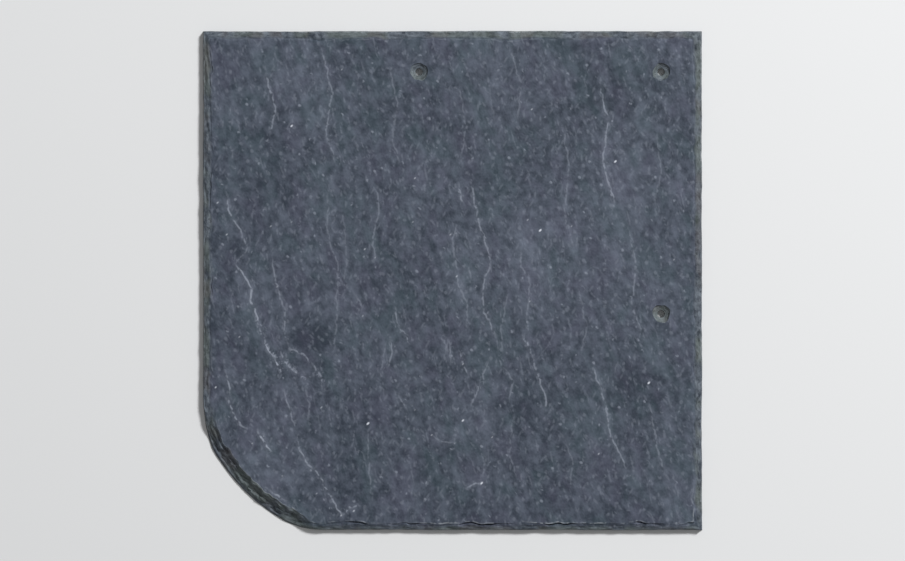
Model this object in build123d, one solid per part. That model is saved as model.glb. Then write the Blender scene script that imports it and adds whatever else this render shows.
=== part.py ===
from build123d import *
import math
import os

# Slate roof tile, single lap, with one corner cut on an arc.
# One split sheet of slate, lying on its back: X runs across the course, Y runs up the roof slope and Z stands out of
# the weather face. The origin is at the middle of the back face. The cut corner is at -X, -Y.

# Sheet as split and trimmed
tile_width = 300.0
tile_length = 300.0
thickness = 6.0

# Cut corner: an arc that is flatter than a quarter circle, so it meets both edges at a slight kink
corner_cut = 60.0  # from the square corner to each end of the arc
corner_radius = 116.0

# Dressed edge, as it breaks when the sheet is chopped from the back. Going up from the back face:
# a broken flank, a sloping ledge along the cleavage, and a small riser up to the weather face.
flank_height = 3.2
flank_width = 1.2
ledge_height = 1.4
ledge_width = 4.6
riser_width = 0.4

# Nail holes, punched from the back, with a spalled seat for the nail's head on the weather face.
# They lie under the laps: two along the head of the tile and two along its covered side, sharing the corner hole.
nail_hole_diameter = 4.5
nail_seat_diameter = 10.0
nail_seat_depth = 2.0
nail_edge_distance = 25.0
nail_spacing = 145.0


def tile_outline():
    """The tile's outline at the back face, anticlockwise from the foot of the arc."""
    left, right = -tile_width / 2, tile_width / 2
    bottom, top = -tile_length / 2, tile_length / 2
    arc_foot = (left + corner_cut, bottom)
    arc_head = (left, bottom + corner_cut)
    half_chord = corner_cut / math.sqrt(2)
    sagitta = corner_radius - math.sqrt(corner_radius**2 - half_chord**2)
    inwards = corner_cut / 2 - sagitta / math.sqrt(2)
    arc_middle = (left + inwards, bottom + inwards)
    edges = [
        Line(arc_foot, (right, bottom)),
        Line((right, bottom), (right, top)),
        Line((right, top), (left, top)),
        Line((left, top), arc_head),
        ThreePointArc(arc_head, arc_middle, arc_foot),
    ]
    return make_face(edges)


def dressed_sheet():
    """The sheet with its broken edge all round, as a stack of ruled slices between inset outlines."""
    steps = [
        (0.0, 0.0),
        (flank_height, flank_width),
        (flank_height + ledge_height, flank_width + ledge_width),
        (thickness, flank_width + ledge_width + riser_width),
    ]
    outline = tile_outline()
    sections = [
        Pos(0, 0, height) * (offset(outline, -inset, kind=Kind.INTERSECTION) if inset else outline)
        for height, inset in steps
    ]
    slices = [loft([lower, upper], ruled=True) for lower, upper in zip(sections, sections[1:])]
    return slices[0].fuse(*slices[1:])


def nail_hole_places():
    """The corner hole, one along the head and one down the covered side."""
    x = tile_width / 2 - nail_edge_distance
    y = tile_length / 2 - nail_edge_distance
    return [(x, y), (x - nail_spacing, y), (x, y - nail_spacing)]


def nail_hole():
    """What the punch removes: a round hole that widens to the spalled seat at the weather face."""
    hole_radius, seat_radius = nail_hole_diameter / 2, nail_seat_diameter / 2
    align = (Align.CENTER, Align.CENTER, Align.MIN)
    shank = Cylinder(hole_radius, thickness, align=align)
    seat = Pos(0, 0, thickness - nail_seat_depth) * Cone(hole_radius, seat_radius, nail_seat_depth, align=align)
    return shank + seat


slate_tile = dressed_sheet() - [Pos(x, y) * nail_hole() for x, y in nail_hole_places()]

os.makedirs("parts", exist_ok=True)
export_step(slate_tile, "parts/slate_tile.step")
print("slate_tile volume", round(slate_tile.volume), "mm3")
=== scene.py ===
import math

import bmesh
import bpy
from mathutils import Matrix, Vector, kdtree, noise


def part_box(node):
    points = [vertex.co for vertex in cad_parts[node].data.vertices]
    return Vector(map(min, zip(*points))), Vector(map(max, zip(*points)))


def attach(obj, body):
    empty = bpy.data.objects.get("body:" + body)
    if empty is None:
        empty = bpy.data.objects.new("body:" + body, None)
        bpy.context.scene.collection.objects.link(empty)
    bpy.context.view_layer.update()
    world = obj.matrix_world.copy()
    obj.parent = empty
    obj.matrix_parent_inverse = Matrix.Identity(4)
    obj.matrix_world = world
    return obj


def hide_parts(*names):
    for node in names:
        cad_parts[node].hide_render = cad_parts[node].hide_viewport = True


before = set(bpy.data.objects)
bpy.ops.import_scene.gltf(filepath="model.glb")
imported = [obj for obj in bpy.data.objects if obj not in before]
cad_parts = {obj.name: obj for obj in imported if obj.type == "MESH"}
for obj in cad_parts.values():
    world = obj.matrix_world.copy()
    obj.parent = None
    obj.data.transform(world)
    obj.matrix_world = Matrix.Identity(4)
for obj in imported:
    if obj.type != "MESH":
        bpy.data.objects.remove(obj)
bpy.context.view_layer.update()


# The camera looks straight down on the tile, as the photograph looks straight at its face. The tile lies on
# its back, with its head away from the viewer and its cut corner at the lower left.

camera_height = 1.51
camera_lens = 100.0


def put_in_scene(name, data):
    """An object in the scene that holds the given camera, mesh or light."""
    thing = bpy.data.objects.new(name, data)
    bpy.context.scene.collection.objects.link(thing)
    return thing


camera_data = bpy.data.cameras.new("camera")
camera_data.lens = camera_lens
camera = put_in_scene("camera", camera_data)
camera.location = (0.0, 0.0, camera_height)
bpy.context.scene.camera = camera


# The sheet's outline: a trimmed square of slate with one corner cut on a flat arc, which the slater chops
# from the back along a template. All sizes here are in millimetres; the finished mesh is scaled to metres.

MM = 0.001
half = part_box("slate_tile")[1].x / MM
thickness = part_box("slate_tile")[1].z / MM
corner_cut = 60.0
corner_radius = 116.0
arc_centre = -half + corner_cut / 2 + math.sqrt(corner_radius**2 - corner_cut**2 / 2) / math.sqrt(2)
BOTTOM, RIGHT, TOP, LEFT, ARC = range(5)
side_lengths = {
    BOTTOM: 2 * half - corner_cut,
    RIGHT: 2 * half,
    TOP: 2 * half,
    LEFT: 2 * half - corner_cut,
    ARC: 2 * corner_radius * math.asin(corner_cut / math.sqrt(2) / corner_radius),
}


def outline_point(side, share, inset):
    """A point of the outline moved inwards, by the side that it is on and its share of that side's length."""
    edge = half - inset
    kink = arc_centre - math.sqrt((corner_radius - inset) ** 2 - (edge + arc_centre) ** 2)
    if side == ARC:
        head = math.atan2(kink - arc_centre, -edge - arc_centre) % math.tau
        foot = math.atan2(-edge - arc_centre, kink - arc_centre) % math.tau
        angle = head + (foot - head) * share
        reach = corner_radius - inset
        return Vector((arc_centre + reach * math.cos(angle), arc_centre + reach * math.sin(angle), 0.0))
    ends = {
        BOTTOM: ((kink, -edge), (edge, -edge)),
        RIGHT: ((edge, -edge), (edge, edge)),
        TOP: ((edge, edge), (-edge, edge)),
        LEFT: ((-edge, edge), (-edge, kink)),
    }
    start, end = ends[side]
    return Vector((*start, 0.0)).lerp(Vector((*end, 0.0)), share)


def ramp(value, start, end):
    """0 up to start, 1 from end on, and a smooth rise between them."""
    share = min(max((value - start) / (end - start), 0.0), 1.0)
    return share * share * (3.0 - 2.0 * share)


def wave(x, y, size, seed):
    """Smooth noise between about -1 and 1, whose swells are that many millimetres apart."""
    return 1.6 * noise.noise(Vector((x / size, y / size, seed)))


# The weather face: one cleavage bed of the stone, laid bare when the block was split with a chisel. It is
# nearly flat, with a slow swell, faint ribs along the grain, and thin flakes that left it along curved edges.

crest_inset = 6.25
grid_edge = half - crest_inset
front_cell = 1.25
arc_reach_on_grid = 55.0
corner_pull = 110.0
nail_places = [(125.0, 125.0), (-20.0, 125.0), (125.0, -20.0)]
hole_block = 6.25
hole_pull = 17.0
seat_radius = 5.2
grain_angle = math.radians(19)
bed_below_top = 0.45
flake_edge = 0.02
upper_flakes, lower_flakes = 11.7, 23.1

sheet = bmesh.new()
side_layer = sheet.verts.layers.int.new("side")
share_layer = sheet.verts.layers.float.new("share")
weather_layer = sheet.verts.layers.int.new("weather_side")
broken_layer = sheet.verts.layers.float.new("broken")
crest_layer = sheet.verts.layers.float.new("crest")
fresh_layer = sheet.verts.layers.float.new("fresh")
ridge_layer = sheet.verts.layers.float.new("ridge")
ridge_pale_layer = sheet.verts.layers.float.new("ridge_pale")
flake_layer = sheet.verts.layers.float.new("flake")
shade_layer = sheet.verts.layers.float.new("shade")
speck_layer = sheet.verts.layers.float.new("speck")


def split_bed(cell):
    """A flat square grid of the sheet, with a block of cells left out round each nail hole."""
    count = round(2 * grid_edge / cell)
    face = bmesh.ops.create_grid(sheet, x_segments=count, y_segments=count, size=grid_edge)["verts"]
    blocks = set()
    for x, y in nail_places:
        for vert in face:
            if max(abs(vert.co.x - x), abs(vert.co.y - y)) < hole_block + cell:
                for cell_face in vert.link_faces:
                    middle = cell_face.calc_center_median()
                    if max(abs(middle.x - x), abs(middle.y - y)) < hole_block:
                        blocks.add(cell_face)
    bmesh.ops.delete(sheet, geom=list(blocks), context="FACES")
    return [vert for vert in face if vert.is_valid]


def round_nail_openings(face, radius_at):
    """Pulls the square openings in a grid round, to the radius that the function gives for each direction."""
    for x, y in nail_places:
        hole = Vector((x, y, 0.0))
        for vert in face:
            away = Vector((vert.co.x - x, vert.co.y - y, 0.0))
            ring = max(abs(away.x), abs(away.y))
            if ring < hole_pull:
                out = away.normalized()
                on_circle = hole + out * (ring - hole_block + radius_at(hole, out))
                vert.co = on_circle.lerp(hole + away, ramp(ring, hole_block, hole_pull))


def pull_to_outline(face):
    """Notes each rim vertex's place on the outline, and pulls the grid's corner in to the arc."""
    near = 0.01
    kink = arc_reach_on_grid - grid_edge
    rim = [v for v in face if v.is_boundary and max(abs(v.co.x), abs(v.co.y)) > grid_edge - near]
    from_left, from_bottom = {}, {}
    for vert in rim:
        x, y, _ = vert.co
        on_left, on_bottom = x < near - grid_edge, y < near - grid_edge
        if on_left and y < kink - near:
            place = ARC, 0.5 * (kink - y) / arc_reach_on_grid
        elif on_bottom and x < kink - near:
            place = ARC, 0.5 + 0.5 * (x + grid_edge) / arc_reach_on_grid
        elif on_bottom:
            place = BOTTOM, (x - kink) / (grid_edge - kink)
        elif x > grid_edge - near:
            place = RIGHT, (y + grid_edge) / (2 * grid_edge)
        elif y > grid_edge - near:
            place = TOP, (grid_edge - x) / (2 * grid_edge)
        else:
            place = LEFT, (grid_edge - y) / (grid_edge - kink)
        vert[side_layer], vert[share_layer] = place
        shift = outline_point(*place, crest_inset) - vert.co
        if on_left:
            from_left[round(y, 2)] = shift
        if on_bottom:
            from_bottom[round(x, 2)] = shift
    corner = from_left[round(-grid_edge, 2)]
    for vert in face:
        x, y, _ = vert.co
        if x < 0 and y < 0:
            near_left = 1 - ramp(x + grid_edge, 0, corner_pull)
            near_bottom = 1 - ramp(y + grid_edge, 0, corner_pull)
            vert.co += from_left[round(y, 2)] * near_left + from_bottom[round(x, 2)] * near_bottom
            vert.co -= corner * near_left * near_bottom
    return rim


def burst_radius(hole, out):
    """How far the ragged rim of a nail hole's crater lies from its middle, in one direction."""
    x, y = hole.x + 5 * out.x, hole.y + 5 * out.y
    return seat_radius + 0.55 * wave(x, y, 5, 61) + 0.25 * wave(x, y, 2.2, 62)


def along_grain(x, y):
    """A place's distances across the grain and along it."""
    across = x * math.cos(grain_angle) + y * math.sin(grain_angle)
    along = y * math.cos(grain_angle) - x * math.sin(grain_angle)
    return across, along


def flake_field(x, y, seed):
    """A slow field along the grain; a flake's edge runs where it passes zero."""
    across, along = along_grain(x, y)
    return wave(across, along * 0.4, 44, seed) + 0.22 * wave(across, along * 0.5, 12, seed + 4) - 0.2


def flaked(x, y, seed):
    """1 where a flake has left the bed, 0 where it still lies, and the flake's edge between them."""
    return ramp(flake_field(x, y, seed), -flake_edge, flake_edge)


def face_height(x, y):
    """Height of the weather face over the back, without its single ridges."""
    across, along = along_grain(x, y)
    swell = 0.22 * wave(x, y, 95, 8.3) + 0.12 * wave(across, along * 0.7, 38, 9.4)
    ribs = 0.06 * wave(across, along * 0.16, 10, 4.4) + 0.035 * wave(across, along * 0.22, 4.6, 6.6)
    flakes = 0.11 * flaked(x, y, upper_flakes) + 0.09 * flaked(x, y, lower_flakes)
    return thickness - bed_below_top + swell + ribs - flakes


weather_face = split_bed(front_cell)
round_nail_openings(weather_face, burst_radius)
crest = pull_to_outline(weather_face)


# The broken edge's line: chopped from the back, the stone bursts away on the weather side, so the face ends
# at a ragged crest some 5 to 10 mm inside the outline, furthest round the arc and least along the foot.

side_bevel = 5.7
foot_narrower = 1.1
arc_wider = 3.3
arc_foot_wider = 1.7
arc_blend = 9.0
crest_pull = 14.0
far_from_line = 9.0


def arc_share(side, share):
    """1 round the arc and 0 on the straight sides, with a smooth change at the arc's two ends."""
    past_end = {BOTTOM: -share, LEFT: share - 1, ARC: min(share, 1 - share)}.get(side, -1.0)
    return ramp(past_end * side_lengths[side], -arc_blend, arc_blend)


def eased_kink(side, share):
    """How far the hammer has rounded the outline back at the arc's two ends, over more of it at the head."""
    head_reach, foot_reach, slope = 20.0, 13.0, math.tan(math.radians(12))
    from_head = {LEFT: 1 - share, ARC: share}.get(side, 1.0) * side_lengths[side]
    from_foot = {BOTTOM: share, ARC: 1 - share}.get(side, 1.0) * side_lengths[side]
    at_head = max(head_reach - from_head, 0.0) ** 2 / (2 * head_reach)
    at_foot = max(foot_reach - from_foot, 0.0) ** 2 / (2 * foot_reach)
    return slope * (at_head + at_foot)


def foot_share(side, share):
    """1 along the foot, growing to it round the arc, and 0 on the other sides."""
    shares = {BOTTOM: 1.0, RIGHT: 1 - ramp(share, 0, 0.06), TOP: 0.0, LEFT: 0.0, ARC: ramp(share, 0, 1)}
    return shares[side]


def crest_distance(side, share):
    """How far in from the outline the ragged crest runs."""
    x, y, _ = outline_point(side, share, 0.0)
    on_arc, by_foot = arc_share(side, share), foot_share(side, share)
    chips = 1.3 * ramp(wave(x, y, 24, 3.1), 0.35, 0.8) + 0.9 * ramp(wave(x, y, 9, 5.7), 0.35, 0.8)
    ragged = (0.3 + 0.5 * on_arc) * wave(x, y, 13, 1.3) + (0.35 + 0.35 * on_arc) * wave(x, y, 4.5, 2.2)
    usual = side_bevel - foot_narrower * by_foot + (arc_wider + arc_foot_wider * by_foot) * on_arc
    return usual + chips + ragged + eased_kink(side, share)


def search_tree(verts):
    """A tree that finds the vertices near a place, as seen from above."""
    tree = kdtree.KDTree(len(verts))
    for index, vert in enumerate(verts):
        tree.insert((vert.co.x, vert.co.y, 0.0), index)
    tree.balance()
    return tree


crest_tree = search_tree(crest)
crest_shifts = []
for vert in crest:
    place = vert[side_layer], vert[share_layer]
    # The crest's pale rim, as worn stone and painted highlight, strongest along the foot and round the arc.
    vert[crest_layer] = 0.5 + 0.5 * max(foot_share(*place), arc_share(*place))
    crest_shifts.append(outline_point(*place, crest_distance(*place)) - vert.co)
for vert in weather_face:
    _, index, distance = crest_tree.find(vert.co)
    vert.co += crest_shifts[index] * (1 - ramp(distance, 0, crest_pull))

for vert in weather_face:
    x, y, _ = vert.co
    vert.co.z = face_height(x, y)
    vert[ridge_layer] = far_from_line
    # The field's value over its slope is the distance to the flake's edge.
    step, least_slope = 0.3, 0.004
    field = flake_field(x, y, upper_flakes)
    rise_in_x = flake_field(x + step, y, upper_flakes) - field
    rise_in_y = flake_field(x, y + step, upper_flakes) - field
    slope = Vector((rise_in_x, rise_in_y)).length / step
    vert[flake_layer] = min(max(field / max(slope, least_slope), -far_from_line), far_from_line)


# Single ridges of the face: where a thin layer tore off, its edge stands a tenth of a millimetre proud and is
# bruised pale. Each line runs from its head to its foot, in millimetres, with its step and how pale it is.

face_ridges = [
    ([(-135, 50), (-134, 42), (-132, 38), (-127, 31), (-126, 26), (-122, 21)], 0.10, 0.70),
    ([(-122, 21), (-124, 16), (-127, 13), (-130, 10)], 0.05, 0.50),
    ([(-130, 10), (-126, 4), (-120, -5), (-121, -12), (-118, -18), (-116, -28), (-113, -35)], 0.14, 0.95),
    ([(-113, -34), (-110, -42), (-106, -48), (-103, -56)], 0.12, 1.10),
    ([(-103, -43), (-100, -48), (-94, -55), (-90, -58), (-84, -58)], 0.08, 0.85),
    ([(-108, 13), (-107, 4), (-105, -4), (-103, -10), (-100, -18), (-101, -30), (-99, -38)], 0.08, 0.50),
    ([(-100, -36), (-97, -41), (-89, -44), (-84, -50), (-79, -57), (-78, -65)], 0.07, 0.60),
    ([(-88, -64), (-86, -73), (-86, -84)], 0.04, 0.35),
    ([(-136, -56), (-133, -65), (-134, -73), (-131, -81), (-127, -86), (-123, -89)], 0.12, 0.75),
    ([(-117, -90), (-114, -95), (-109, -103)], 0.12, 1.30),
    ([(-101, -65), (-98, -76), (-94, -88)], 0.06, 0.50),
    ([(-93, -93), (-91, -102), (-88, -108), (-83, -113), (-78, -119), (-73, -129), (-66, -141)], 0.12, 0.75),
    ([(-56, -135), (-62, -136), (-66, -141)], 0.05, 0.80),
    ([(-112, -124), (-105, -129), (-100, -132)], 0.05, 0.85),
    ([(-99, -134), (-93, -137)], 0.04, 0.65),
    ([(-75, 52), (-75, 28), (-72, 18), (-69, 10), (-69, -20), (-71, -42)], 0.07, 0.32),
    ([(-65, 34), (-63, 12), (-66, -4)], 0.04, 0.25),
    ([(-45, 58), (-44, 40), (-48, 26), (-46, 13)], 0.05, 0.38),
    ([(-59, -7), (-55, -13), (-53, -22)], 0.04, 0.35),
    ([(-34, -16), (-34, -25), (-28, -33), (-26, -38)], 0.06, 0.60),
    ([(-37, -35), (-36, -45), (-39, -52)], 0.05, 0.50),
    ([(-40, -38), (-43, -56), (-41, -68)], 0.04, 0.30),
    ([(-32, -68), (-30, -73), (-27, -78)], 0.04, 0.45),
    ([(4, 58), (5, 51), (6, 44)], 0.06, 0.60),
    ([(3, 34), (0, 26), (1, 14), (4, -4), (9, -14), (8, -30)], 0.06, 0.38),
    ([(11, 58), (13, 47), (15, 37), (19, 25), (22, 16), (23, 11)], 0.12, 0.58),
    ([(23, 11), (20, 3), (18, -7), (18, -17), (22, -24), (26, -34)], 0.10, 0.58),
    ([(10, 8), (11, 1)], 0.04, 0.45),
    ([(41, 20), (41, 8), (45, 2), (46, -10), (44, -24)], 0.05, 0.35),
    ([(33, -8), (29, -30), (30, -44)], 0.05, 0.32),
    ([(42, -33), (46, -41), (48, -47)], 0.10, 0.85),
    ([(48, -46), (50, -53), (53, -62), (56, -69), (56, -78)], 0.10, 0.65),
    ([(-5, -32), (-4, -44)], 0.04, 0.40),
    ([(-2, -35), (-1, -50)], 0.05, 0.45),
    ([(4, -42), (6, -50), (10, -58)], 0.05, 0.55),
    ([(22, -48), (18, -56), (20, -64)], 0.05, 0.45),
    ([(16, -60), (14, -68), (11, -75)], 0.06, 0.55),
    ([(27, -45), (32, -55), (36, -60), (34, -72)], 0.05, 0.40),
    ([(36, -84), (34, -97), (35, -107), (38, -117)], 0.05, 0.32),
    ([(20, -105), (18, -118)], 0.04, 0.32),
    ([(-50, -92), (-51, -101), (-50, -113), (-48, -131)], 0.06, 0.36),
    ([(-13, -93), (-5, -97), (2, -97)], 0.05, 0.35),
    ([(8, -124), (14, -121), (19, -121)], 0.05, 0.75),
    ([(88, 118), (93, 96), (90, 71), (97, 46)], 0.12, 0.65),
    ([(106, 30), (110, 8), (107, -14), (114, -33)], 0.10, 0.45),
    ([(84, -52), (91, -71), (95, -94), (104, -112)], 0.11, 0.60),
    ([(-78, 138), (-72, 112), (-76, 90), (-70, 71)], 0.10, 0.45),
    ([(34, 139), (41, 118), (39, 97)], 0.08, 0.30),
    ([(-112, 124), (-106, 103), (-109, 88)], 0.08, 0.60),
    ([(-38, 128), (-33, 106), (-36, 84), (-31, 70)], 0.05, 0.30),
    ([(4, 116), (8, 92), (5, 74)], 0.04, 0.30),
    ([(66, 92), (70, 66), (67, 42), (72, 20)], 0.05, 0.35),
    ([(122, 88), (125, 64), (121, 46)], 0.04, 0.30),
    ([(76, -6), (80, -28), (77, -44)], 0.04, 0.30),
    ([(118, -74), (122, -98), (127, -116)], 0.05, 0.40),
    ([(66, -92), (72, -108), (70, -126)], 0.04, 0.30),
]
ridge_reach = 14.0
ridge_fall = 6.0
point_spacing = 0.7

# Soft patches where the face is darker or paler: their place, reach across and along the tile, and how much.
shade_patches = [
    (-84, -35, 9, 8, -0.95),
    (4, 3, 6, 11, 0.50),
    (-5, -92, 9, 6, 0.35),
    (18, -120, 8, 6, 0.30),
    (-60, -62, 14, 14, 0.25),
    (-60, -96, 16, 22, -0.12),
    (44, -74, 8, 9, -0.45),
    (-132, 14, 7, 12, -0.35),
    (6, 10, 11, 40, 0.30),
    (46, 8, 12, 40, 0.40),
    (10, -86, 13, 11, 0.40),
    (-116, -6, 9, 22, 0.30),
    (-112, -114, 20, 15, 0.50),
    (104, 52, 12, 34, 0.30),
    (84, 108, 20, 14, -0.30),
    (-86, 112, 10, 24, 0.25),
    (-30, 96, 24, 15, -0.25),
    (112, -66, 13, 20, -0.30),
]

# Bright grains of the stone: their place and how bright each one is.
specks = [
    (52, 30, 1.0), (-50, -86, 1.0), (18, -121, 0.9), (6, -84, 0.8), (-142, -64, 0.6), (-141, 46, 0.5),
    (-135, 28, 0.5), (3, 2, 0.5), (-52, 19, 0.5), (-128, -34, 0.45), (-59, -138, 0.6), (-66, -141, 0.5),
    (-120, -97, 0.45), (-109, 32, 0.45), (-79, -76, 0.45), (-13, -93, 0.45), (24, -94, 0.45), (45, 36, 0.45),
    (-24, 35, 0.4), (-1, 27, 0.45), (46, -13, 0.4), (6, -50, 0.45), (-23, -78, 0.35), (-54, -21, 0.4),
    (-46, 14, 0.4), (-102, -117, 0.4), (-81, -128, 0.4), (1, -97, 0.35), (-96, 35, 0.35), (-105, -4, 0.4),
    (97, 71, 0.9), (-96, 92, 0.8), (118, -61, 0.9), (-22, 61, 0.5), (71, 33, 0.4), (88, -104, 0.5),
    (133, 12, 0.4), (-66, 126, 0.4), (48, 102, 0.5),
]


def torn_line(points, seed):
    """Closely spaced places on the line through the points, bent and jagged as a torn layer's edge is."""
    line = []
    for start, end in zip(points, points[1:]):
        start, end = Vector((*start, 0.0)), Vector((*end, 0.0))
        count = max(round((end - start).length / point_spacing), 1)
        line += [start.lerp(end, i / count) for i in range(count)]
    line.append(Vector((*points[-1], 0.0)))
    torn = []
    for point in line:
        bend = Vector((wave(point.x, point.y, 6, seed), wave(point.x, point.y, 6, seed + 0.5), 0.0))
        jag = Vector((wave(point.x, point.y, 2.6, seed), wave(point.x, point.y, 2.6, seed + 0.5), 0.0))
        torn.append(point + 0.45 * bend + 0.35 * jag)
    return torn


face_tree = search_tree(weather_face)
for number, (points, step, pale) in enumerate(face_ridges):
    line = torn_line(points, number)
    last = len(line) - 1
    nearest = {}
    for place, point in enumerate(line):
        run = (line[min(place + 1, last)] - line[max(place - 1, 0)]).normalized()
        for found, index, distance in face_tree.find_range(point, ridge_reach):
            if distance < nearest.get(index, (ridge_reach,))[0]:
                offset = run.x * (found.y - point.y) - run.y * (found.x - point.x)
                from_end = min(place, last - place) * point_spacing
                nearest[index] = distance, offset, from_end
    for index, (distance, offset, from_end) in nearest.items():
        vert = weather_face[index]
        beyond_end = math.sqrt(max(distance**2 - offset**2, 0.0))
        held = ramp(from_end, 0.0, 6.0) * (1 - ramp(beyond_end, 0.0, 3.0))
        vert.co.z -= step * held * ramp(offset, -0.5, 0.5) * math.exp(-max(offset, 0.0) / ridge_fall)
        if abs(offset) < abs(vert[ridge_layer]):
            vert[ridge_layer] = offset
            pale_here = pale * (0.35 + 0.65 * ramp(from_end, 0, 4)) * (1 - ramp(beyond_end, 0, 1.2))
            vert[ridge_pale_layer] = pale_here * (1 - ramp(abs(offset), 1.2, 2.1))

for vert in weather_face:
    for x, y, across, along, lift in shade_patches:
        away = math.hypot((vert.co.x - x) / across, (vert.co.y - y) / along)
        away += 0.3 * wave(vert.co.x, vert.co.y, 9, x)
        vert[shade_layer] += lift * math.exp(-max(away, 0.0) ** 2)
for x, y, bright in specks:
    _, index, _ = face_tree.find((x, y, 0.0))
    weather_face[index][speck_layer] = bright


# The broken edge itself: a small riser under the crest, a sloping ledge of torn layers and a steep flank down
# to the sharp arris at the back. Round the arc, which is cut with short blows, it is more like one slope.
# Here and there along the foot the last bed has lifted, and leaves a dark slit over the ledge.

foot_slits = [(-64, -50), (-28, -18), (4, 29), (56, 77), (112, 122)]
slit_deepest, slit_fade = 1.3, 4.0
side_flank, foot_flank_lower, arc_flank = 4.0, 0.5, 1.5
least_riser = 0.08
lamina = 0.42
riser_end, worn_and_highlight_ring, ledge_end = 0.075, 0.80, 0.86
edge_rings = [0.035, riser_end, 0.12, 0.18, 0.25, 0.32, 0.39, 0.46, 0.53, 0.60, 0.67, 0.74]
edge_rings += [worn_and_highlight_ring, ledge_end, 0.93, 1.0]


def slit_depth(side, share):
    """How deep the slit under the lifted bed is at a place of the foot."""
    x = outline_point(side, share, 0.0).x
    opened = 0.0
    for start, end in foot_slits:
        opened = max(opened, ramp(x, start, start + slit_fade) * (1 - ramp(x, end - slit_fade, end)))
    return slit_deepest * opened if side == BOTTOM else 0.0


def broken_edge(side, share, down):
    """A point of the broken edge, at a share of the way from the crest down to the arris."""
    x, y, _ = outline_point(side, share, 0.0)
    on_arc, by_foot = arc_share(side, share), foot_share(side, share)
    reach = crest_distance(side, share)
    crest_height = face_height(*outline_point(side, share, reach).xy)
    riser = 0.22 + 0.15 * by_foot + (0.4 + 0.2 * by_foot) * wave(x, y, 13, 14.2) + 0.25 * wave(x, y, 5, 15.2)
    riser = max(riser, least_riser)
    flank_top = side_flank - foot_flank_lower * by_foot
    flank_top += (arc_flank - flank_top) * on_arc + 0.3 * wave(x, y, 10, 16.4)
    wobble = max(0.25 + 0.2 * wave(x, y, 28, 7.7) + 0.15 * wave(x, y, 6, 8.8), 0.0)
    wobble += eased_kink(side, share)
    inset = wobble + (reach - wobble) * (1 - down)
    if down <= ledge_end:
        ledge = min(max((down - riser_end) / (ledge_end - riser_end), 0.0), 1.0)
        torn = (0.35 + 0.35 * on_arc) * wave(x, y, 8, 31 + inset / 2.0)
        torn += (0.2 + 0.3 * on_arc) * wave(x, y, 2.6, 41 + inset / 1.1)
        sloped = 1 - (1 - ledge) ** (1 + 0.65 * on_arc)
        drop = (crest_height - riser - flank_top) * sloped
        drop += torn * ramp(ledge, 0.0, 0.15) * (1 - ramp(ledge, 0.8, 1.0))
        layered = lamina * (math.floor(drop / lamina) + ramp(drop / lamina % 1.0, 0.6, 1.0))
        height = crest_height - riser * ramp(down, 0, riser_end) - max(0.5 * drop + 0.5 * layered, 0.0)
        height -= slit_depth(side, share) * ramp(down, 0.03, riser_end) * (1 - ramp(down, 0.16, 0.32))
    else:
        height = flank_top * (1 - ((down - ledge_end) / (1 - ledge_end)) ** (1 + on_arc))
    flat = outline_point(side, share, inset)
    return flat.x, flat.y, max(height, 0.0)


def pulled_out(edges):
    """Extrudes a rim of the sheet, and gives back the new vertices and the new rim."""
    made = bmesh.ops.extrude_edge_only(sheet, edges=edges)["geom"]
    verts = [g for g in made if isinstance(g, bmesh.types.BMVert)]
    return verts, [g for g in made if isinstance(g, bmesh.types.BMEdge) and g.is_boundary]


rim_edges = [e for e in sheet.edges if e.is_boundary and e.verts[0][crest_layer] and e.verts[1][crest_layer]]
seat_edges = [e for e in sheet.edges if e.is_boundary and not e.verts[0][crest_layer]]
for down in edge_rings:
    verts, rim_edges = pulled_out(rim_edges)
    for vert in verts:
        place = vert[side_layer], vert[share_layer]
        vert.co = broken_edge(*place, down)
        on_arc, by_foot = arc_share(*place), foot_share(*place)
        by_side = 1 - max(by_foot, on_arc)
        vert[broken_layer] = max(ramp(down, 0.1 * by_foot, 0.4 + 0.5 * by_foot), on_arc)
        # Pale arrises at two of the ledge's rings, as worn stone and painted highlight, paler off the foot
        # and arc.
        vert[crest_layer] = {worn_and_highlight_ring: 0.5 * by_side, ledge_end: 0.65 + 0.3 * by_side}.get(down, 0.0)
        vert[ridge_layer] = vert[flake_layer] = far_from_line


# The nail holes: the slater's pick goes in from the back and bursts a small crater of flakes out of the
# weather face, which then seats the nail's head. The fresh stone in it is dusty and paler than the rest.

bore_radius = 2.25
crater_rings, all_rings = 8, 12
hole_zone = 10.0
bore_loops = []
for hole in (Vector(place) for place in nail_places):
    edges = [e for e in seat_edges if (e.verts[0].co.xy - hole).length < hole_zone]
    for ring in range(all_rings):
        verts, edges = pulled_out(edges)
        inwards = min(ring / crater_rings, 1.0)
        for vert in verts:
            away = (vert.co.xy - hole).normalized()
            rough = wave(hole.x + away.x * 6, away.y * 6, 3, hole.y + ring * 0.5)
            burst_width = burst_radius(hole, away) - bore_radius + 0.2 * rough
            radius = bore_radius + burst_width * (1 - inwards)
            if ring <= crater_rings:
                burst_depth = 0.30 + 1.7 * inwards**0.8 + 0.4 * rough * (1 - inwards)
                height = face_height(*(hole + away * seat_radius)) - burst_depth
            else:
                height = vert.co.z * (all_rings - ring) / (all_rings - ring + 1)
            vert.co = (*(hole + away * radius), height)
            vert[broken_layer] = vert[fresh_layer] = 1.0
            vert[ridge_layer] = vert[flake_layer] = far_from_line
    bore_loops.append(edges)


# The back: the bed on the other side of the same split, nearly flat. The tile lies on it, so only its shape
# shows. Its cells are twice the front's, so its rims are cut finer before they are joined to the front's.

back_cell = 2.5
back_opening = bore_radius + 0.45
back_rim_inset = 1.5
back_bed_height = 0.34
back_flakes = 71.3


def rims_of_the_back():
    """The edges of the back's grid that have a face on one side only."""
    return [e for e in sheet.edges if e.is_boundary and not e.verts[0][weather_layer]]


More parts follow.
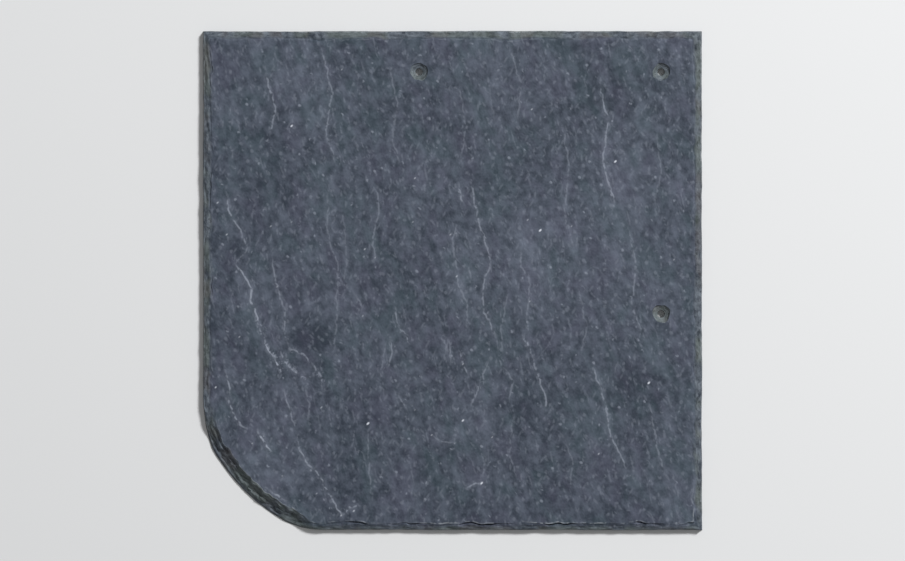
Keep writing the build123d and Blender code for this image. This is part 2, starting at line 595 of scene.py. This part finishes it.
for vert in sheet.verts:
    vert[weather_layer] = 1
split_bed(back_cell)
bmesh.ops.subdivide_edges(sheet, edges=rims_of_the_back(), cuts=1)
back_face = [v for v in sheet.verts if not v[weather_layer]]
round_nail_openings(back_face, lambda hole, out: back_opening)
for vert in pull_to_outline(back_face):
    place = vert[side_layer], vert[share_layer]
    vert.co = outline_point(*place, back_rim_inset + eased_kink(*place))
for vert in back_face:
    x, y, _ = vert.co
    vert.co.z = back_bed_height + 0.16 * wave(x, y, 80, 51) + 0.05 * wave(x, y * 0.4, 18, 52)
    vert.co.z += 0.1 * flaked(x, -y, back_flakes)
    vert[ridge_layer] = vert[flake_layer] = far_from_line
back_edges = rims_of_the_back()
for hole, loop in zip(nail_places, bore_loops):
    around = [e for e in back_edges if (e.verts[0].co.xy - Vector(hole)).length < hole_zone]
    back_edges = [e for e in back_edges if e not in around]
    bmesh.ops.bridge_loops(sheet, edges=loop + around)
bmesh.ops.bridge_loops(sheet, edges=rim_edges + back_edges)

sharpest_smooth = math.radians(30)
bmesh.ops.recalc_face_normals(sheet, faces=sheet.faces)
for face in sheet.faces:
    face.smooth = True
for edge in sheet.edges:
    edge.smooth = edge.calc_face_angle(0.0) < sharpest_smooth
bmesh.ops.scale(sheet, vec=(MM, MM, MM), verts=sheet.verts)
for name in ("side", "weather_side"):
    sheet.verts.layers.int.remove(sheet.verts.layers.int[name])
sheet.verts.layers.float.remove(sheet.verts.layers.float["share"])
slate_mesh = bpy.data.meshes.new("riven_slate_sheet")
sheet.to_mesh(slate_mesh)
sheet.free()
slate_sheet = put_in_scene("riven_slate_sheet", slate_mesh)
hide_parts("slate_tile")
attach(slate_sheet, "root")


# Split slate: a fine-grained blue-grey stone with a riven, matt, unpolished face. The eye sees a fine speckle
# of crystals and pits, pale hairs where layers tore, and a greener grey where the edge is broken across them.

def linear(hex_colour):
    """A colour for a shader socket from its sRGB hex value."""
    channels = [int(hex_colour[i:i + 2], 16) / 255 for i in (1, 3, 5)]
    return (*[c / 12.92 if c <= 0.04045 else ((c + 0.055) / 1.055) ** 2.4 for c in channels], 1.0)


def add_node(tree, kind, sockets, output=0, **settings):
    """Adds a shader node with its settings, fills or links its sockets, and gives back one output of it.

    Some sockets go by number: a Map Range takes value 0 from the range 1 to 2 into the range 3 to 4, and a
    colour Mix goes from colour 6 to colour 7 by its share 0, and gives output 2.
    """
    new = tree.nodes.new("ShaderNode" + kind)
    for name, value in settings.items():
        setattr(new, name, value)
    for name, value in sockets.items():
        if isinstance(value, bpy.types.NodeSocket):
            tree.links.new(value, new.inputs[name])
        else:
            new.inputs[name].default_value = value
    return new.outputs[output] if new.outputs else None


split_slate = bpy.data.materials.new("split slate")
split_slate.use_nodes = True
tree = split_slate.node_tree
tree.nodes.clear()

where = add_node(tree, "TexCoord", {}, "Object")
wander = add_node(tree, "TexNoise", {"Vector": where, "Scale": 1 / (45 * MM), "Detail": 1.0}, "Color")
wander = add_node(tree, "VectorMath", {0: wander, 1: (6 * MM, 6 * MM, 0.0)}, operation="MULTIPLY")
warped = add_node(tree, "VectorMath", {0: where, 1: wander}, operation="ADD")


def laid_on_grain(size, stretch, turn, part):
    """How a pattern lies on the grain: its cells are size in millimetres wide and stretch times that long."""
    return {
        "Vector": warped,
        "Location": (part * 31 * MM, part * 53 * MM, 0.0),
        "Rotation": (0, 0, grain_angle + turn),
        "Scale": (size * MM, size * stretch * MM, size * MM),
    }


def mottling(size, stretch, detail, roughness, part):
    """Soft noise, drawn out along the grain, whose coarsest swells are about twice that many millimetres."""
    laid = laid_on_grain(size, stretch, 0.0, part)
    on_grain = add_node(tree, "Mapping", laid, vector_type="TEXTURE")
    return add_node(tree, "TexNoise", {
        "Vector": on_grain, "Scale": 1.0, "Detail": detail, "Roughness": roughness})


def marks(width, length, spacing, turn, part):
    """1 on marks of that width and length, one to a cell, and 0 between them: scratches, or round specks."""
    laid = laid_on_grain(spacing, length / width, turn, part)
    on_grain = add_node(tree, "Mapping", laid, vector_type="TEXTURE")
    cells = {"Vector": on_grain, "Scale": 1.0}
    away = add_node(tree, "TexVoronoi", cells, "Distance", voronoi_dimensions="2D")
    radius = width / spacing / 2
    return add_node(tree, "MapRange", {0: away, 1: radius, 2: radius * 0.3}, interpolation_type="SMOOTHSTEP")


def toned(tone, patterns):
    """A tone, 0 dark and 1 pale, lifted by a share of each pattern as that goes from its start to its end."""
    for pattern, start, end, share in patterns:
        lift = {0: pattern, 1: start, 2: end, 4: share}
        lift = add_node(tree, "MapRange", lift, interpolation_type="SMOOTHSTEP")
        tone = add_node(tree, "Math", {0: lift, 1: tone}, operation="ADD")
    return tone


def strongest(patterns):
    """The strongest of several patterns at each place, each one first weakened to its own share."""
    top = 0.0
    for pattern, share in patterns:
        weakened = add_node(tree, "Math", {0: pattern, 1: share}, operation="MULTIPLY")
        top = add_node(tree, "Math", {0: weakened, 1: top}, operation="MAXIMUM")
    return top


def held_to(pattern, field, start, end):
    """The pattern kept only where a soft noise is past its start, and whole past its end."""
    gate = add_node(tree, "MapRange", {0: field, 1: start, 2: end}, interpolation_type="SMOOTHSTEP")
    return add_node(tree, "Math", {0: pattern, 1: gate}, operation="MULTIPLY")


# The weathered face: blue-grey from dark to pale, with faint green and violet tints. Slate's grains are under
# a tenth of a millimetre, too fine to show, so the speckle is drawn coarser, in clumps of 2 to 7 mm.
clouds = mottling(45, 1.8, 1.0, 0.5, 1)
speckle = mottling(4.4, 1.25, 2.0, 0.70, 2)
mist = mottling(7, 2.8, 1.0, 0.6, 3)
patches = mottling(20, 1.3, 2.0, 0.6, 4)
crumbs = mottling(2.0, 1.3, 0.5, 0.6, 5)
shade = add_node(tree, "Attribute", {}, "Fac", attribute_name="shade")
tone = toned(-0.40, [
    (speckle, 0.20, 0.80, 0.45),
    (crumbs, 0.25, 0.48, 0.05),
    (clouds, 0.30, 0.70, 0.11),
    (mist, 0.46, 0.74, 0.18),
    (shade, -1.0, 1.0, 0.56),
])
stone = add_node(tree, "Mix", {0: tone, 6: linear("#2d3643"), 7: linear("#6f7787")}, 2, data_type="RGBA")
tints = mottling(16, 1.6, 2.0, 0.7, 6)
greener = held_to(0.17, tints, 0.50, 0.66)
stone = add_node(tree, "Mix", {0: greener, 6: stone, 7: linear("#405a5e")}, 2, data_type="RGBA")
redder = held_to(0.14, tints, 0.48, 0.32)
stone = add_node(tree, "Mix", {0: redder, 6: stone, 7: linear("#564e68")}, 2, data_type="RGBA")

# Pale marks: the bruised ridges and flake edges, and short scratches and grains. Real ones are thin as hairs,
# and these are drawn some 2 mm wide so that they show.
ridge = add_node(tree, "Attribute", {}, "Fac", attribute_name="ridge")
ragged = add_node(tree, "MapRange", {0: speckle, 3: -0.8, 4: 0.8})
ridge = add_node(tree, "Math", {0: ridge, 1: ragged}, operation="ADD")
ridge = add_node(tree, "Math", {0: ridge}, operation="ABSOLUTE")
ridge = add_node(tree, "MapRange", {0: ridge, 1: 0.95, 2: 0.15}, interpolation_type="SMOOTHSTEP")
ridge_pale = add_node(tree, "Attribute", {}, "Fac", attribute_name="ridge_pale")
ridge = add_node(tree, "Math", {0: ridge, 1: ridge_pale}, operation="MULTIPLY")
flake = add_node(tree, "Attribute", {}, "Fac", attribute_name="flake")
flake = add_node(tree, "Math", {0: flake}, operation="ABSOLUTE")
flake = add_node(tree, "MapRange", {0: flake, 1: 0.7, 2: 0.1}, interpolation_type="SMOOTHSTEP")
speck = add_node(tree, "Attribute", {}, "Fac", attribute_name="speck")
speck = add_node(tree, "MapRange", {0: speck, 1: 0.10, 2: 0.80}, interpolation_type="SMOOTHSTEP")
pale_marks = strongest([
    (held_to(ridge, crumbs, 0.26, 0.58), 0.84),
    (ridge_pale, 0.10),
    (held_to(flake, patches, 0.46, 0.60), 0.08),
    (held_to(marks(1.8, 14.0, 7.0, -0.10, 7), crumbs, 0.40, 0.58), 0.16),
    (held_to(marks(2.1, 6.0, 5.2, -0.30, 8), crumbs, 0.42, 0.62), 0.18),
    (held_to(marks(2.1, 6.0, 5.8, 0.30, 9), crumbs, 0.56, 0.40), 0.16),
    (held_to(marks(1.9, 6.0, 7.0, -0.85, 10), patches, 0.58, 0.46), 0.14),
    (held_to(marks(3.2, 3.8, 7.5, 0.0, 11), crumbs, 0.42, 0.58), 0.20),
    (held_to(marks(2.4, 3.0, 15.0, 0.5, 12), crumbs, 0.44, 0.62), 0.45),
])
stone = add_node(tree, "Mix", {0: pale_marks, 6: stone, 7: linear("#989fad")}, 2, data_type="RGBA")

# The broken edge: the torn layers and the chips across them, in greenish and brownish greys. Real layers are
# thinner than the 0.45 mm that they are drawn at here.
layer_scale = (1 / (3.5 * MM), 1 / (3.5 * MM), 1 / (0.45 * MM))
on_layers = add_node(tree, "Mapping", {"Vector": where, "Scale": layer_scale})
layers = add_node(tree, "TexNoise", {"Vector": on_layers, "Scale": 1.0, "Detail": 3.0, "Roughness": 0.65})
fresh = add_node(tree, "Attribute", {}, "Fac", attribute_name="fresh")
chip_scale = (1 / (3.2 * MM), 1 / (3.2 * MM), 1 / (0.7 * MM))
on_chips = add_node(tree, "Mapping", {"Vector": warped, "Scale": chip_scale})
chips = add_node(tree, "TexVoronoi", {"Vector": on_chips, "Scale": 1.0}, "Color")
edge_tone = toned(-0.33, [
    (patches, 0.50, 0.64, 0.24),
    (layers, 0.20, 0.80, 0.45),
    (speckle, 0.15, 0.85, 0.50),
    (chips, 0.0, 1.0, 0.36),
    (fresh, 0.0, 1.0, 0.20),
])
edge = add_node(tree, "Mix", {0: edge_tone, 6: linear("#2e3641"), 7: linear("#7b848e")}, 2, data_type="RGBA")
greened = held_to(0.42, patches, 0.42, 0.58)
edge = add_node(tree, "Mix", {0: greened, 6: edge, 7: linear("#4f584c")}, 2, data_type="RGBA")
browned = held_to(0.30, tints, 0.50, 0.34)
edge = add_node(tree, "Mix", {0: browned, 6: edge, 7: linear("#595250")}, 2, data_type="RGBA")
broken = add_node(tree, "Attribute", {}, "Fac", attribute_name="broken")
colour = add_node(tree, "Mix", {0: broken, 6: stone, 7: edge}, 2, data_type="RGBA")

# The crest is pale in places: worn stone, and painted highlight where it catches light. Bright grains lie on
# top.
rim = add_node(tree, "Attribute", {}, "Fac", attribute_name="crest")
rim = add_node(tree, "MapRange", {0: rim, 1: 0.2, 2: 1.0, 4: 0.75}, interpolation_type="SMOOTHSTEP")
# Painted pale rim: partly worn, bruised stone, partly painted highlight along the crest and the ledge's
# arrises.
rim = held_to(held_to(rim, patches, 0.40, 0.60), crumbs, 0.36, 0.56)
colour = add_node(tree, "Mix", {0: rim, 6: colour, 7: linear("#9ba1a8")}, 2, data_type="RGBA")
colour = add_node(tree, "Mix", {0: speck, 6: colour, 7: linear("#d3d8e2")}, 2, data_type="RGBA")

# Relief too fine for the mesh: shallow pits, marks that stand a little proud, and the edge's torn layers.
pits = mottling(4.2, 1.2, 2.0, 0.60, 2)
pits = add_node(tree, "Bump", {"Height": pits, "Distance": 0.42 * MM, "Strength": 1.0})
proud = add_node(tree, "Bump", {"Height": pale_marks, "Distance": 0.15 * MM, "Strength": 1.0, "Normal": pits})
torn = toned(0.0, [(layers, 0.0, 1.0, 0.5), (chips, 0.0, 1.0, 0.5)])
torn = add_node(tree, "Math", {0: torn, 1: broken}, operation="MULTIPLY")
torn = add_node(tree, "Bump", {"Height": torn, "Distance": 0.5 * MM, "Strength": 1.0, "Normal": proud})
matt = add_node(tree, "MapRange", {0: speckle, 3: 0.60, 4: 0.80})
shader = add_node(tree, "BsdfPrincipled", {
    "Base Color": colour, "Roughness": matt, "Specular IOR Level": 0.35, "Normal": torn})
add_node(tree, "OutputMaterial", {"Surface": shader})
slate_mesh.materials.append(split_slate)


# The floor and the light: a plain floor in pale matt paint, which takes a soft shadow and mirrors nothing,
# one soft key light from the upper right as in the photograph, and an even fill from all round.

floor_reach = 6.0
key_direction = Vector((0.542, 0.542, 0.643)).normalized()
key_distance = 4.0
key_size = 0.75
key_watts = 175.0
fill_strength = 0.27

bpy.context.scene.view_settings.view_transform = "Standard"

floor_mesh = bpy.data.meshes.new("floor")
floor_plane = bmesh.new()
bmesh.ops.create_grid(floor_plane, x_segments=1, y_segments=1, size=floor_reach)
floor_plane.to_mesh(floor_mesh)
floor_plane.free()
floor = put_in_scene("floor", floor_mesh)
floor_paint = bpy.data.materials.new("pale matt floor paint")
floor_paint.use_nodes = True
floor_shader = floor_paint.node_tree.nodes["Principled BSDF"]
floor_shader.inputs["Base Color"].default_value = linear("#e4e5e6")
floor_shader.inputs["Roughness"].default_value = 0.9
floor_mesh.materials.append(floor_paint)

key_data = bpy.data.lights.new("key softbox", "AREA")
key_data.size = key_size
key_data.energy = key_watts
key = put_in_scene("key softbox", key_data)
key.location = key_direction * key_distance
key.rotation_euler = key_direction.to_track_quat("Z", "Y").to_euler()

fill = bpy.data.worlds.new("studio fill")
fill.use_nodes = True
fill_light = fill.node_tree.nodes["Background"]
fill_light.inputs["Color"].default_value = (1.0, 1.0, 1.0, 1.0)
fill_light.inputs["Strength"].default_value = fill_strength
bpy.context.scene.world = fill
